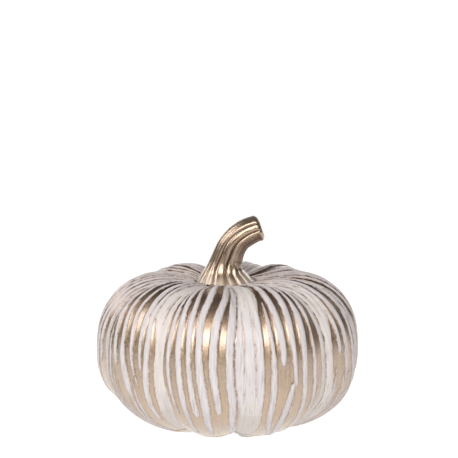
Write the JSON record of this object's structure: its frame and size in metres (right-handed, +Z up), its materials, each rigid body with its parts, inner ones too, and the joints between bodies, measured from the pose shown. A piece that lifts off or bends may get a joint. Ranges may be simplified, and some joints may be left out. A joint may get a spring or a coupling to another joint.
{
  "type": "ceramic pumpkin figure",
  "caption": "Hollow lobed ceramic pumpkin with raised white painted ridges over metallic gold and a separately cast bent gold stem, for a tabletop or mantel display.",
  "frame": {"origin": "centre of the footprint on the surface the figure stands on, under the axis of the lobed body", "axes": "+Z up along the axis of the lobed body, -Y towards the front of the figure, +X towards the side to which the stem bends"},
  "size_m": [0.1501, 0.1499, 0.1219],
  "materials": {
    "gold_and_white_coat": "metallic gold base coat with raised matte white ridges",
    "gold_coat": "metallic champagne gold coat, satin",
    "luting": "matte set ceramic luting",
    "pad_rubber": "soft matte off-white rubber"
  },
  "bodies": {
    "root": {"body_shell": "gold_and_white_coat", "stem": "gold_coat", "stem_luting": "luting", "foot_pad_1": "pad_rubber", "foot_pad_2": "pad_rubber", "foot_pad_3": "pad_rubber"}
  },
  "joints": []
}
